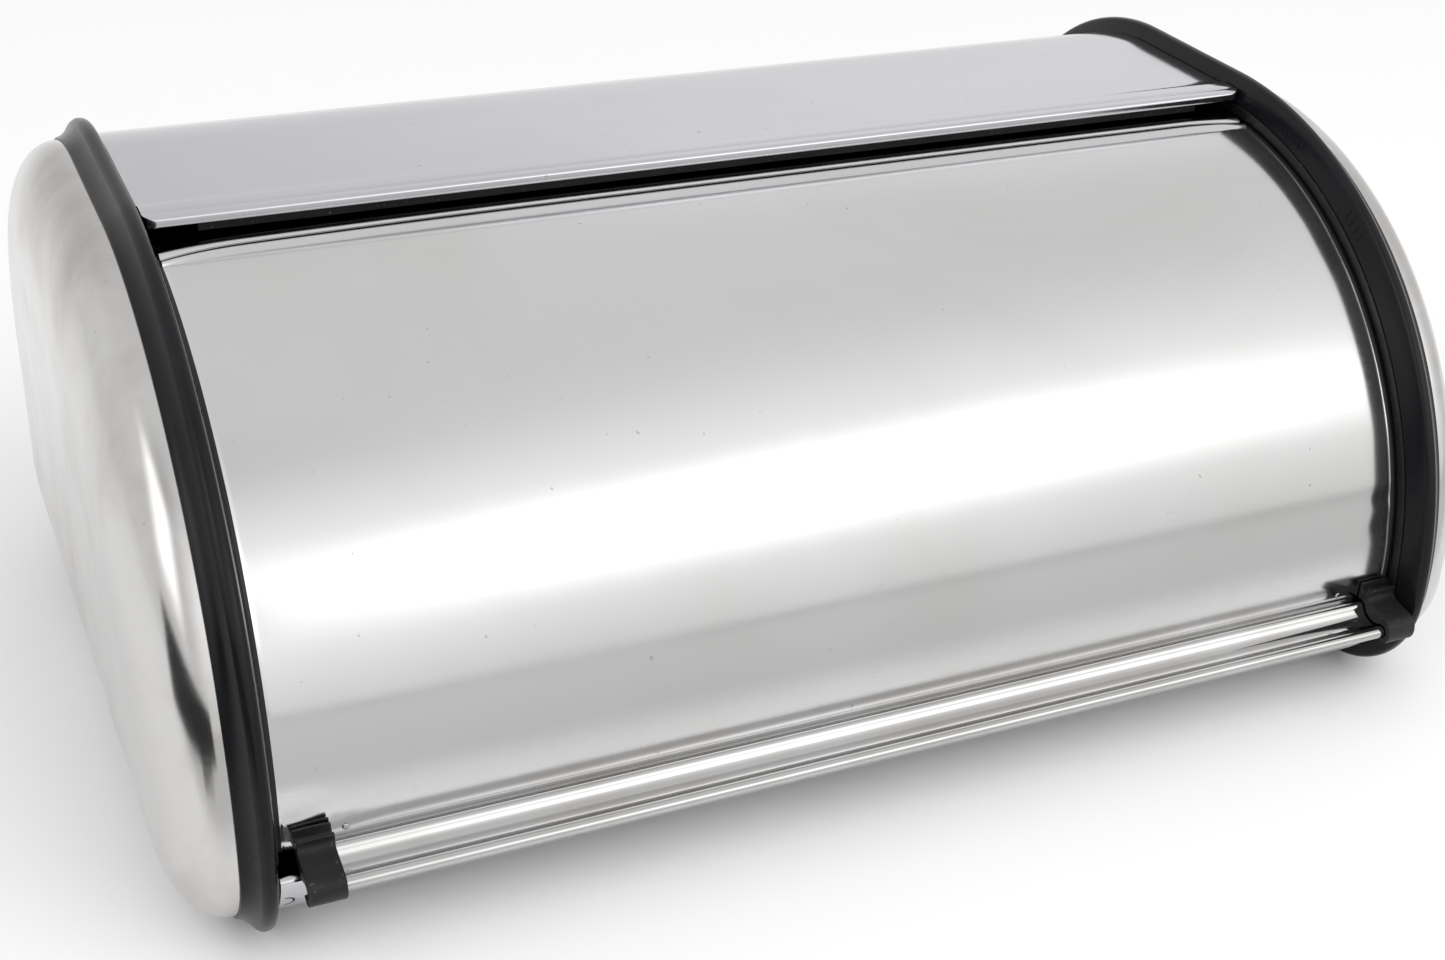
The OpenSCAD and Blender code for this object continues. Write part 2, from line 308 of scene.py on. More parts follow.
def steel(name, base, smear, rough_low, rough_high, cloud=9.0, grain=(1, 1, 1), grain_scale=900.0,
          grain_depth=0.4e-6, ripple=0.0, ripple_scale=60.0, speck=0.0):
    """Stainless sheet: cloudy smears, uneven polish, a fine grain and a slight ripple."""
    mat, tree, shader, where = graph(name)
    shader.inputs["Metallic"].default_value = 1.0
    smears = noise_node(tree, where, cloud, 4.0, 0.6, distort=0.6)
    tone = blend_colour(tree, remap(tree, smears, 0.42, 0.72, 0, 1), base, smear)
    if speck:
        dots = noise_node(tree, where, 420.0, 1.0, 0.4)
        dark = tuple(c * 0.45 for c in base)
        tone = blend_colour(tree, remap(tree, dots, 0.78, 0.84, 0, speck), tone, dark)
    tree.links.new(tone, shader.inputs["Base Color"])
    polish = noise_node(tree, where, cloud * 2.3, 5.0, 0.6)
    fine = noise_node(tree, where, grain_scale, 2.0, 0.5, stretch=grain)
    rough = maths(tree, "ADD", remap(tree, polish, 0.3, 0.75, rough_low, rough_high),
                  remap(tree, fine, 0.3, 0.7, -0.012, 0.012))
    tree.links.new(rough, shader.inputs["Roughness"])
    normal = bump(tree, shader, fine, grain_depth)
    if ripple:
        waves = noise_node(tree, where, ripple_scale, 2.0, 0.45)
        bump(tree, shader, waves, ripple, under=normal)
    return mat


DUST_TONE = (0.35, 0.34, 0.32)


def plastic(name, dark, pale, rough_low, rough_high, grain=700.0, depth=6e-6, cloud=25.0, dust=0.0,
            gloss=0.3):
    """Moulded black plastic or rubber: a little uneven in tone, with a fine mould grain."""
    mat, tree, shader, where = graph(name)
    clouds = noise_node(tree, where, cloud, 4.0, 0.6)
    tone = blend_colour(tree, remap(tree, clouds, 0.35, 0.7, 0, 1), dark, pale)
    if dust:
        specks = noise_node(tree, where, 900.0, 2.0, 0.5)
        tone = blend_colour(tree, remap(tree, specks, 0.66, 0.74, 0, dust), tone, DUST_TONE)
    tree.links.new(tone, shader.inputs["Base Color"])
    wear = noise_node(tree, where, cloud * 3, 4.0, 0.6)
    tree.links.new(remap(tree, wear, 0.3, 0.7, rough_low, rough_high), shader.inputs["Roughness"])
    bump(tree, shader, noise_node(tree, where, grain, 2.0, 0.5), depth)
    shader.inputs["Specular IOR Level"].default_value = gloss
    return mat


DOOR_STEEL = steel(
    "polished_door_steel", (0.665, 0.665, 0.668), (0.625, 0.618, 0.608), 0.10, 0.16, cloud=7.0,
    grain=(1, 12, 12), grain_scale=260.0, grain_depth=0.25e-6, ripple=4e-5, ripple_scale=22.0, speck=0.5)
SHELL_STEEL = steel(
    "satin_shell_steel", (0.60, 0.603, 0.622), (0.565, 0.567, 0.585), 0.09, 0.14, cloud=9.0,
    grain=(1, 14, 14), grain_scale=300.0, grain_depth=0.6e-6, ripple=3e-5, ripple_scale=16.0, speck=0.7)
CAP_STEEL = steel(
    "pressed_cap_steel", (0.625, 0.618, 0.612), (0.46, 0.435, 0.415), 0.12, 0.21, cloud=17.0,
    grain_scale=1100.0, grain_depth=0.5e-6, ripple=6e-5, ripple_scale=34.0, speck=0.5)
RAIL_STEEL = steel(
    "rolled_rail_steel", (0.55, 0.545, 0.54), (0.47, 0.462, 0.45), 0.06, 0.12, cloud=16.0,
    grain=(1, 20, 20), grain_scale=260.0, grain_depth=0.3e-6, ripple=1.5e-5, ripple_scale=60.0)
ZINC = steel("zinc_screw", (0.55, 0.56, 0.58), (0.46, 0.47, 0.48), 0.3, 0.42, cloud=160.0)
FRAME_BLACK = plastic("frame_plastic", (0.004, 0.0044, 0.005), (0.008, 0.0085, 0.010), 0.20, 0.30,
                      depth=4e-6, gloss=0.21)
TRACK_BLACK = plastic("track_plastic", (0.005, 0.005, 0.006), (0.009, 0.009, 0.010), 0.34, 0.46,
                      depth=5e-6, dust=0.12)
STRIP_BLACK = plastic("dusty_strip_plastic", (0.003, 0.003, 0.003), (0.007, 0.007, 0.007), 0.5, 0.65,
                      dust=0.35)
TRIM_BLACK = plastic("trim_plastic", (0.007, 0.008, 0.010), (0.013, 0.014, 0.017), 0.26, 0.36, depth=3e-6)
RUBBER = plastic("clip_rubber", (0.007, 0.007, 0.007), (0.015, 0.015, 0.015), 0.42, 0.58, grain=1400.0,
                 depth=2.2e-5, cloud=60.0, dust=0.12)

# ---------------------------------------------------------------- camera, floor and light
EYE = Vector((-0.26978, -0.56483, 0.40302))
YAW, PITCH, ROLL = 25.485, -29.603, 2.95  # degrees
LENS, SENSOR = 51.86, 36.0
FLOOR_HALF = 6.0


def make_camera():
    yaw, pitch, roll = (math.radians(v) for v in (YAW, PITCH, ROLL))
    ahead = Vector((math.sin(yaw) * math.cos(pitch), math.cos(yaw) * math.cos(pitch), math.sin(pitch)))
    level = Vector((math.cos(yaw), -math.sin(yaw), 0))
    up = level.cross(ahead)
    right = level * math.cos(roll) + up * math.sin(roll)
    top = up * math.cos(roll) - level * math.sin(roll)
    data = bpy.data.cameras.new("camera")
    data.lens, data.sensor_width = LENS, SENSOR
    data.clip_start, data.clip_end = 0.01, 50.0
    cam = bpy.data.objects.new("camera", data)
    basis = Matrix((right, top, -ahead)).transposed().to_4x4()
    cam.matrix_world = Matrix.Translation(EYE) @ basis
    bpy.context.scene.collection.objects.link(cam)
    bpy.context.scene.camera = cam


def make_floor():
    bm = bmesh.new()
    bmesh.ops.create_grid(bm, x_segments=2, y_segments=2, size=FLOOR_HALF)
    mat, tree, shader, where = graph("pale_floor")
    shader.inputs["Roughness"].default_value = 0.75
    shader.inputs["Specular IOR Level"].default_value = 0.2
    tone = blend_colour(tree, noise_node(tree, where, 3.0), (0.87, 0.87, 0.87), (0.885, 0.885, 0.885))
    tree.links.new(tone, shader.inputs["Base Color"])
    new_object(bm, "floor", mat)


def toward(azimuth, elevation):
    """Unit vector that points away from the object; azimuth 0 is the front, positive to the right."""
    a, e = math.radians(azimuth), math.radians(elevation)
    return Vector((math.sin(a) * math.cos(e), -math.cos(a) * math.cos(e), math.sin(e)))


def along(tree, direction, axis):
    """How far a direction points along an axis."""
    dot = tree.nodes.new("ShaderNodeVectorMath")
    dot.operation = "DOT_PRODUCT"
    tree.links.new(direction, dot.inputs[0])
    dot.inputs[1].default_value = axis
    return dot.outputs["Value"]


def soft_window(tree, direction, azimuth, elevation, half_w, half_h, soft_w, soft_h):
    """1 inside a soft-edged window of the sky centred on a direction, 0 outside; sizes in degrees."""
    centre = toward(azimuth, elevation)
    side = Vector((-centre.y, centre.x, 0)).normalized()
    rise = centre.cross(side)
    if rise.z < 0:
        rise = -rise
    parts = []
    for axis, half, soft in ((side, half_w, soft_w), (rise, half_h, soft_h)):
        away = maths(tree, "ABSOLUTE", along(tree, direction, axis), 0.0)
        inner = math.sin(math.radians(max(0.0, half - soft)))
        outer = math.sin(math.radians(min(89.0, half + soft)))
        parts.append(remap(tree, away, inner, outer, 1.0, 0.0, smooth=True))
    ahead = maths(tree, "GREATER_THAN", along(tree, direction, centre), 0.0)
    return maths(tree, "MULTIPLY", maths(tree, "MULTIPLY", *parts), ahead)


# Soft patches of the sky: azimuth, elevation, half width, half height, softness of each, and the
# brightness they add. A negative one is a darker patch. Angles in degrees.
LIGHT_WINDOWS = (
    (29.5, 29.5, 14, 8.5, 9, 8, 1.15),
    (27, 32, 34, 24, 20, 20, 0.40),
    (-60, 37, 15, 16, 10, 8, 1.3),
    (-20, 62, 18, 12, 12, 10, -0.20),
    (150, 24, 20, 16, 20, 12, 0.10),
    (-172, 26, 24, 20, 14, 14, -0.12),
)
SKY = ((0.0, 0.86), (0.45, 0.88), (1.0, 0.84))  # brightness against the height of the direction
SKY_LEAST = 0.03


def make_world():
    world = bpy.data.worlds.new("studio")
    world.use_nodes = True
    tree = world.node_tree
    back = tree.nodes["Background"]
    direction = tree.nodes.new("ShaderNodeTexCoord").outputs["Generated"]
    split = tree.nodes.new("ShaderNodeSeparateXYZ")
    tree.links.new(direction, split.inputs[0])
    ramp = tree.nodes.new("ShaderNodeValToRGB")
    tree.links.new(split.outputs["Z"], ramp.inputs["Fac"])
    stops = ramp.color_ramp.elements
    stops[0].position, stops[1].position = SKY[0][0], SKY[-1][0]
    stops.new(SKY[1][0])
    for stop, (_, v) in zip(stops, SKY):
        stop.color = (v, v, v, 1)
    total = ramp.outputs["Color"]
    for *window, gain in LIGHT_WINDOWS:
        patch = maths(tree, "MULTIPLY", soft_window(tree, direction, *window), gain)
        total = maths(tree, "ADD", total, patch)
    total = maths(tree, "MAXIMUM", total, SKY_LEAST)
    tree.links.new(total, back.inputs["Color"])
    back.inputs["Strength"].default_value = 1.0
    bpy.context.scene.world = world
    bpy.context.scene.view_settings.view_transform = "Standard"


def area_light(name, azimuth, elevation, distance, width, height, power):
    data = bpy.data.lights.new(name, "AREA")
    data.shape, data.size, data.size_y, data.energy = "RECTANGLE", width, height, power
    lamp = bpy.data.objects.new(name, data)
    direction = toward(azimuth, elevation)
    lamp.location = direction * distance
    lamp.rotation_mode = "QUATERNION"
    lamp.rotation_quaternion = direction.to_track_quat("Z", "Y")
    lamp.visible_glossy = False
    bpy.context.scene.collection.objects.link(lamp)


def make_flag(name, corners, tone, fade=None):
    """A card that only polished surfaces see, as a photographer sets up to shape reflections."""
    bm = bmesh.new()
    bm.faces.new([bm.verts.new(Vector(c)) for c in corners])
    mat, tree, shader, where = graph(name)
    mottle = blend_colour(tree, noise_node(tree, where, 5.0), tuple(c * 0.95 for c in tone), tone)
    tree.links.new(mottle, shader.inputs["Base Color"])
    shader.inputs["Roughness"].default_value = 0.9
    shader.inputs["Specular IOR Level"].default_value = 0.0
    if fade:
        split = tree.nodes.new("ShaderNodeSeparateXYZ")
        tree.links.new(where, split.inputs[0])
        opacity = remap(tree, split.outputs["Y"], *fade, 1.0, 0.0, smooth=True)
        tree.links.new(opacity, shader.inputs["Alpha"])
    card = new_object(bm, name, mat)
    card.visible_camera = card.visible_diffuse = card.visible_shadow = False
    card.visible_transmission = False


FLAG_Z = 0.001  # just above the floor
FLAG_GREY, FLAG_DARK = (0.60, 0.60, 0.60), (0.03, 0.03, 0.03)


def make_flags():
    table = [(x, y, FLAG_Z) for x, y in ((-2.5, -2.6), (2.5, -2.6), (2.5, -0.15), (-2.5, -0.15))]
    make_flag("grey_table_card", table, FLAG_GREY, fade=(-0.27, -0.165))
    left, right = toward(-76, 0) * 0.66, toward(-22, 0) * 0.66
    upright = [left, right, right + Vector((0, 0, 0.13)), left + Vector((0, 0, 0.17))]
    make_flag("dark_card", upright, FLAG_DARK)
    beside = ((-0.334, -0.265), (-0.276, -0.296), (-0.33, -0.57), (-0.46, -0.386))
    make_flag("dark_table_card", [(x, y, FLAG_Z) for x, y in beside], FLAG_DARK)


make_camera()
make_floor()
make_flags()
make_world()
area_light("key_softbox", 28, 52, 1.6, 1.3, 0.9, 6.0)
area_light("fill_softbox", -60, 48, 1.6, 1.0, 1.0, 2.5)

# ---------------------------------------------------------------- side frames
FLANK = [(5.2, 198.2), (4.75, 196.9), (4.05, 195.8), (3.1, 194.8), (2.0, 193.95), (1.0, 193.3), (0.35, 192.5),
         (0, 191.8), (0, 190.6), (0.25, 189.8), (0.8, 189.2), (1.7, 188.8)]
RING = spline(FLANK, 3) + [(4.5, 188.26), (8.8, 187.44), (9, 187.6), (9, 196), (6.75, 196), (6.75, 191.1),
                           (5.95, 191.1), (5.9, 198.1)]
LEDGE = [(5.65, 188.3), (5.65, 181.1), (5.8, 181.0), (7.1, 181.0), (7.2, 181.1), (7.2, 188.3)]


def ribs(bm, side, angles, lean):
    """Short raised dashes on the ring's inner wall."""
    s0, s1 = 3.4, 6.6
    mid = (s0 + s1) / 2
    for a in angles:
        rings = []
        for k, grow in ((0, 1.0), (1, 0.65)):
            ring = []
            for s, da in ((s0, -0.16), (s1, -0.16 + lean), (s1, 0.16 + lean), (s0, 0.16)):
                ss = mid + (s - mid) * (0.93 + 0.07 * grow)
                wall = 188.8 - (ss - 1.7) / 7.3 * 1.4
                y, z = pol(RIDGE_R - ss, a + (da - lean / 2) * grow + lean / 2)
                ring.append((side * (wall - 0.28 * k + 0.1 * (1 - k)), y, z))
            rings.append(ring)
        loft(bm, rings)


def web(bm, side):
    """The frame's side wall between the ring and the track, with its screw bosses."""
    near_x, far_x, inset = 191.02, 192.6, 8.0
    loops = []
    for x in (near_x, far_x):
        loops.append([(side * x, p[0] + m[0] * inset, p[1] + m[1] * inset)
                      for p, m in stations(48, 32, 16, 4, 3, 6)])
    inner = []
    for x in (far_x, near_x):
        ring = []
        for _, y, z in loops[0]:
            d = Vector((y, z - ARC_Z))
            r = min(108.0, d.length - 14.0)
            ring.append((side * x, d.x / d.length * r, ARC_Z + max(d.y / d.length * r, 24 - ARC_Z)))
        inner.append(ring)
    loft(bm, loops + inner, closed=True)
    for a in SCREW_ANGLES:
        y, z = pol(SCREW_R, a)
        rings = []
        for r, x in ((3.6, 192.4), (3.6, 198.2), (3.4, 198.7), (1.6, 198.7), (1.6, 197.0)):
            rings.append([(side * x, y + r * math.cos(t), z + r * math.sin(t)) for t in circle_angles(32)])
        loft(bm, rings)


def make_frames():
    path = stations()
    # the ledge runs where the sheet lies: along the top, down the back and under the bottom
    under_sheet = [p for p in path if p[0][0] > 5.0 or (p[0][1] < 20 and p[0][0] > FC_Y - 0.01)]
    for name, side in SIDES:
        bm = bmesh.new()
        sweep(bm, RING, side, path)
        sweep(bm, LEDGE, side, under_sheet, closed=False)
        ribs(bm, side, [102.4 + 1.05 * i for i in range(7)], 0.5)
        ribs(bm, side, [122.0 + 1.3 * i for i in range(4)], 0.3)
        web(bm, side)
        finish_mesh(bm, f"frame_{name}_moulding", FRAME_BLACK, "housing", f"frame_{name}",
                    34)


# ---------------------------------------------------------------- end caps
CAP_CENTRE = (4.0, 82.0)  # the dome's pole, as (y, z)
CAP_INSET, CAP_REACH, CAP_DOME = 6.0, 30.0, 0.4  # rim inset, width of the rounded edge, rise of the middle
CAP_RIM_X = 191.7
CAP_RINGS = 12


def make_caps():
    """Pressed end caps: a rim in the frame's groove, a rounded edge and a slightly domed, dented face."""
    path = stations(120, 72, 30, 14, 10, 20)
    n = len(path)
    edge_x, flat_x = 199.5, cap_high.x - 0.45
    profile = [(CAP_INSET, CAP_RIM_X), (CAP_INSET, 195.0), (CAP_INSET, 197.6)]
    for i in range(31):
        f = math.radians(3 * i)
        profile.append((CAP_INSET + CAP_REACH - CAP_REACH * math.cos(f),
                        edge_x + (flat_x - edge_x) * math.sin(f)))
    for name, side in SIDES:
        bm = bmesh.new()

        def loop(s, x, scale=None):
            out = []
            for p, m in path:
                y, z = p[0] + m[0] * s, p[1] + m[1] * s
                if scale is not None:
                    y, z = (c + (v - c) * scale for v, c in zip((y, z), CAP_CENTRE))
                deep = max(0.0, min(1.0, (s - 6.3) / 14.0))
                dent = 0.10 * wave(y / 26, z / 26, side * 3.0) + 0.05 * wave(y / 9, z / 9, side * 5.0)
                out.append((side * (x + deep * dent - 0.12 * deep), y, z))
            return out

        outer = [loop(s, x) for s, x in profile]
        outer += [loop(profile[-1][0], flat_x + CAP_DOME * (1 - (k / CAP_RINGS) ** 2), k / CAP_RINGS)
                  for k in range(CAP_RINGS - 1, 0, -1)]
        inner = [[(x - side * SHEET, y, z) for x, y, z in ring] for ring in outer[4:]]
        inner = inner[::-1] + [loop(CAP_INSET + SHEET, 198.6), loop(CAP_INSET + SHEET, CAP_RIM_X)]
        pole_x = flat_x + CAP_DOME - 0.12
        front = loft(bm, outer, ends=False)
        pole = bm.verts.new(Vector((side * pole_x, *CAP_CENTRE)) * MM)
        for j in range(n):
            bm.faces.new((front[-1][j], front[-1][(j + 1) % n], pole))
        back = loft(bm, inner, ends=False)
        pole_in = bm.verts.new(Vector((side * (pole_x - SHEET), *CAP_CENTRE)) * MM)
        for j in range(n):
            k = (j + 1) % n
            bm.faces.new((back[0][k], back[0][j], pole_in))
            bm.faces.new((back[-1][j], back[-1][k], front[0][k], front[0][j]))
        finish_mesh(bm, f"cap_{name}_pressing", CAP_STEEL, "housing", f"cap_{name}", 45)


# ---------------------------------------------------------------- wrapped shell
def shell_path():
    """Middle line of the wrapped sheet: the hem's roll, the top, the back, the bottom and the front lip."""
    def over(r, a):
        return pol(r, a) if a >= 90 else (r * math.radians(90 - a), ARC_Z + r)

    hem_end = HEM_A - math.degrees(HEM_W / SHELL_R)
    r = SHELL_R + HEM_RISE
    path = [over(r - 2 * HEM_ROLL, a) for a in (HEM_A - 2.2, HEM_A - 1.6, HEM_A - 1.0, HEM_A - 0.5)]
    for f in range(-90, 91, 15):
        t = math.radians(f)
        a = HEM_A + math.degrees(HEM_ROLL * math.cos(t) / SHELL_R)
        path.append(over(r - HEM_ROLL + HEM_ROLL * math.sin(t), a))
    # the bright bead behind the roll, then a shallow crease, then the flat of the hem
    for a, lift in ((0.5, 0.0), (0.8, -0.05), (1.05, -0.28), (1.25, -0.30), (1.5, -0.12), (1.8, 0.0),
                    (2.4, 0.02), (2.9, 0.0), (3.4, 0.0)):
        path.append(over(r + lift, HEM_A - a))
    for a, lift in ((0.5, -0.05), (0.2, -0.2), (-0.1, -0.5), (-0.35, -0.75), (-0.7, -0.9)):
        path.append(over(r + lift, hem_end + a))
    rest = [(y, ARC_Z + SHELL_R) for y in (8, 12, 20, 30, 40, 48)]
    path += [p for p in rest if p[0] > path[-1][0] + 0.5]
    path += arc(BC_Y, BC_Z, BACK_R - PROUD - SHEET / 2, 90, 0, 72)
    path += arc(FB_Y, FOOT_R, FOOT_R - PROUD - SHEET / 2, 0, -90, 32)
    path += [(y, PROUD + SHEET / 2) for y in (80, 50, 20, -20, -60)]
    lip_a = 180 + math.degrees(math.asin((ARC_Z - LIP_Z) / LIP_R))
    path += arc(FC_Y, ARC_Z, LIP_R, 270, lip_a, 36)
    ly = FC_Y + LIP_R * math.cos(math.radians(lip_a))
    for f in range(160, -21, -18):
        t = math.radians(f)
        path.append((ly + 1.25 + 1.25 * math.cos(t), LIP_Z + 1.25 * math.sin(t)))
    return path


def make_shell():
    outline = ribbon(shell_path(), SHEET)
    corner, front = 3.5, pol(SHELL_R, HEM_A)[0] - HEM_ROLL  # the hem's two corners are rounded
    top_z = 160  # only the top and the hem lie above this
    rings = []
    for x in spread(SHELL_X, (0.05, 0.25, 0.6, 1.1, 1.7, 2.4, 3.2, 4.2, 8, 14), 24):
        over = abs(x) - (SHELL_X - corner)
        limit = front + (corner - math.sqrt(max(0.0, corner * corner - over * over)) if over > 0 else 0)
        ring = []
        for y, z in outline:
            lift = 0.0
            if z > top_z and y > 6:
                lift = 0.10 * wave(x / 70, y / 45, 4.0) + 0.05 * wave(x / 24, y / 24, 7.0)
                lift *= min(1.0, (y - 6) / 14)
            ring.append((x, max(y, limit) if z > top_z else y, z + lift - 0.05))
        rings.append(ring)
    bm = bmesh.new()
    loft(bm, rings)
    shell = finish_mesh(bm, "body_shell_sheet", SHELL_STEEL, "housing", "body_shell", 40)
    cut_lock_tabs(shell)


def cut_lock_tabs(shell):
    """Cuts the C-shaped slits that leave a locking tongue in the front lip beside each frame."""
    bm = bmesh.new()
    turn = Matrix.Rotation(math.radians(TAB_A - 180), 4, "X") @ Matrix.Rotation(math.radians(90), 4, "X")
    for _, side in SIDES:
        at = Matrix.Translation(Vector((side * TAB_X, FC_Y, ARC_Z))) @ turn

        def slit(h):
            """The C-shaped outline at height h: out along the larger radius and back along the smaller."""
            out = []
            for r, turns in ((TAB_OUT_R, range(-92, 93, 8)), (TAB_IN_R, range(92, -93, -8))):
                for t in (math.radians(180 + q) for q in turns):
                    out.append(at @ Vector((side * r * math.cos(t), r * math.sin(t), h)))
            return out

        loft(bm, [slit(20.0), slit(40.0)])
    bmesh.ops.recalc_face_normals(bm, faces=bm.faces)
    cutter = new_object(bm, "slit_cutter")
    mod = shell.modifiers.new("slits", "BOOLEAN")
    mod.operation, mod.solver, mod.object = "DIFFERENCE", "EXACT", cutter
    bpy.context.view_layer.update()
    cut = bpy.data.meshes.new_from_object(shell.evaluated_get(bpy.context.evaluated_depsgraph_get()))
    shell.modifiers.clear()
    shell.data = cut
    bpy.data.objects.remove(cutter)
    shade_smooth(cut, 40)


# ---------------------------------------------------------------- door
# (radius above the sheet, angle past BEAD_A) along the two pressed beads of the door's top edge
BEADS = [(-0.5, 89.2 - BEAD_A), (-0.5, -0.9), (-0.42, -0.35), (0.4, 0.2), (0.92, 0.8), (1.02, 1.4),
         (0.75, 2.0), (0.22, 2.4), (0.5, 2.8), (0.85, 3.4), (0.75, 4.0), (0.3, 4.55), (0.0, 4.95)]
# small dents near the side edges: depth, distance from the edge, its spread, angle, its spread
DENTS = {
    -1: ((0.55, 4, 9, 175.2, 2.2), (0.30, 15, 6, 178.0, 1.6)),
    1: ((0.40, 1, 5, 164.5, 1.3), (0.25, 2, 7, 169.0, 1.8)),
}
DOOR_FOOT_Z = 35.0
DOOR_STEPS = 150


def make_door():
    """Curved sheet with two pressed beads; the thin metal is a little wavy and dented near its sides."""
    low_a = 180 + math.degrees(math.asin((ARC_Z - DOOR_FOOT_Z) / DOOR_R))
    a0 = BEAD_A + 5.0
    line = spline(BEADS, 4)
    line += [(0.0, a0 + (low_a - a0) * (i / DOOR_STEPS) - BEAD_A) for i in range(1, DOOR_STEPS + 1)]
    rings = []
    for x in spread(DOOR_X, (0.03, 0.2, 0.45, 0.75, 1.1, 1.6, 2.3, 3.2, 4.5, 6, 8, 11, 15, 20), 70):
        side, corner_droop = (-1, 1.1) if x < 0 else (1, 0.25)
        seed = 11.0 if x > 0 else 23.0
        edge = DOOR_X - abs(x)
        droop = 1.5 * max(0.0, 1 - edge / 24.0) ** 2 + corner_droop * max(0.0, 1 - edge / 110.0) ** 2
        near = math.exp(-edge / 5.0)
        wide = math.exp(-edge / 22.0)
        mids = []
        for dr, da in line:
            a = BEAD_A + da
            fade = max(0.0, min(1.0, (7.5 - da) / 4.0)) if da > 3.5 else 1.0
            a += droop * fade * (1 if da > -1 else 0.3)
            r = DOOR_MID + dr
            if da > 4.9:
                t = a * 2.17
                grow = min(1.0, (da - 4.9) / 3.0)
                r += grow * near * (0.20 * wave(t / 17, 0.3, seed) - 0.06)
                r += grow * wide * 0.09 * wave(t / 26, x / 26, seed + 5)
                r += grow * (0.05 * wave(x / 90, t / 60, 2.0) + 0.012 * wave(x / 30, t / 24, 9.0))
                r += grow * 0.16 * math.exp(-(edge / 0.55) ** 2)
                for depth, at, w, angle, h in DENTS[side]:
                    r -= depth * math.exp(-((edge - at) / w) ** 2 - ((a - angle) / h) ** 2)
            mids.append(pol(r, min(a, low_a)))
        rings.append([(x, y, z) for y, z in ribbon(mids, SHEET)])
    bm = bmesh.new()
    loft(bm, rings)
    finish_mesh(bm, "door_panel_sheet", DOOR_STEEL, "door", "door_panel", 50)


# the rail's section, (y, z), from the door's foot round to the rolled outer edge
RAIL = [(-123.77, 34.9), (-123.9, 34.55), (-124.3, 34.2), (-124.9, 34.1), (-125.4, 34.5), (-126.0, 35.1),
        (-126.8, 35.4), (-127.6, 35.2), (-128.2, 34.6), (-128.7, 33.8), (-129.6, 32.7), (-131.0, 31.8),
        (-133.0, 31.3), (-135.0, 31.3), (-136.6, 31.8), (-137.7, 32.35), (-138.6, 32.4), (-139.45, 32.05),
        (-139.95, 31.2), (-139.85, 30.2), (-139.2, 29.5), (-138.2, 29.4), (-137.3, 29.9)]


def make_rail():
    path = [pol(DOOR_R - 1.5 * SHEET - 0.03, 176.5 + 0.7 * i) for i in range(7)] + spline(RAIL, 4)
    outline = ribbon(path, SHEET)
    rings = []
    middle, half = (rail_low.x + rail_high.x) / 2, (rail_high.x - rail_low.x) / 2
    for x in (middle + d for d in spread(half, (0.05, 0.3, 1, 3, 8), 44)):
        rings.append([(x, y, z + (0.03 * wave(x / 55, y / 12, 1.5) - 0.03 if y < -125.5 else 0))
                      for y, z in outline])
    bm = bmesh.new()
    loft(bm, rings)
    finish_mesh(bm, "handle_rail_rolled", RAIL_STEEL, "door", "handle_rail", 50)


def lathe(bm, place, profile, n=40):
    """Closed turned shape; profile is (radius, height) from pole to pole, place maps local mm to mm."""
    rows = []
    for r, h in profile:
        if r <= 0:
            rows.append([bm.verts.new(place @ Vector((0, 0, h)) * MM)])
        else:
            rows.append([bm.verts.new(place @ Vector((r * math.cos(t), r * math.sin(t), h)) * MM)
                         for t in circle_angles(n)])
    for a, b in zip(rows, rows[1:]):
        for j in range(n):
            k = (j + 1) % n
            if len(a) == 1:
                bm.faces.new((a[0], b[j], b[k]))
            elif len(b) == 1:
                bm.faces.new((a[j], a[k], b[0]))
            else:
                bm.faces.new((a[j], a[k], b[k], b[j]))


def make_rivets():
    bm = bmesh.new()
    profile = [(0, 0.24), (0.4, 0.22), (0.75, 0.16), (0.95, 0.08), (1.0, 0.0), (0.6, -0.02), (0.6, -1.58),
               (0.95, -1.6), (0.95, -1.85), (0.7, -1.93), (0, -1.95)]
    outward = Matrix.Rotation(math.radians(90), 4, "X")
    for _, side in SIDES:
        lathe(bm, Matrix.Translation(Vector((side * RIVET_X, -DOOR_R, RIVET_Z))) @ outward, profile)
    finish_mesh(bm, "handle_rivet_pair", RAIL_STEEL, "door", "handle_rivets", 40)


def make_trims():
    """Strips over the door's side edges, each with the rib that runs in the track."""
    lip = DOOR_R + 0.1
    under = DOOR_R - SHEET - 0.02
    section = [(123.0, 183.5), (123.1, 183.4), (under, 183.4), (under, DOOR_X + 0.02),
               (lip - 0.05, DOOR_X + 0.02), (lip, DOOR_X + 0.15), (lip + 0.04, 185.7), (124.92, 185.98),
               (124.95, 186.1), (124.95, 186.44), (124.9, 186.5), (124.9, 189.1), (124.8, 189.2),
               (123.6, 189.2), (123.5, 189.1), (123.5, 186.5), (123.1, 186.5), (123.0, 186.4)]
    for name, side in SIDES:
        bm = bmesh.new()
        loft(bm, turned(section, side, BEAD_A + 4.7, 181.0, 130))
        finish_mesh(bm, f"edge_trim_{name}_strip", TRIM_BLACK, "door", f"edge_trim_{name}",
                    50)


